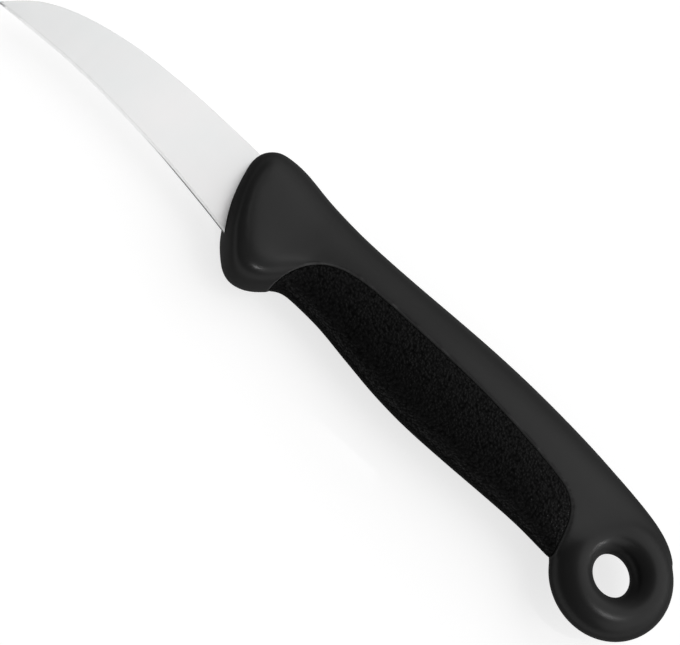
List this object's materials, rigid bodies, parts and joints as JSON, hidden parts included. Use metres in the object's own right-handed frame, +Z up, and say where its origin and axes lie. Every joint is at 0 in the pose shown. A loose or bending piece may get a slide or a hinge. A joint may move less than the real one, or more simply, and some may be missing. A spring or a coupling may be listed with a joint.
{
  "type": "paring knife",
  "caption": "Short peeling knife with a curved blade, a two-part moulded handle with a soft grip, and a hanging ring.",
  "frame": {"origin": "bottom centre of the knife's bounding box, with the knife lying on its side", "axes": "+X from the hanging ring towards the point of the blade, +Y from the spine towards the cutting edge, +Z up, out of the side of the blade"},
  "size_m": [0.18, 0.03, 0.0174],
  "materials": {
    "blade_steel": "satin ground stainless steel",
    "handle_plastic": "smooth dark grey moulded plastic, semi-matt",
    "grip_rubber": "black soft grip with a fine moulded grain"
  },
  "bodies": {
    "root": {"blade": "blade_steel", "handle_body": "handle_plastic", "grip_inlay": "grip_rubber"}
  },
  "joints": []
}
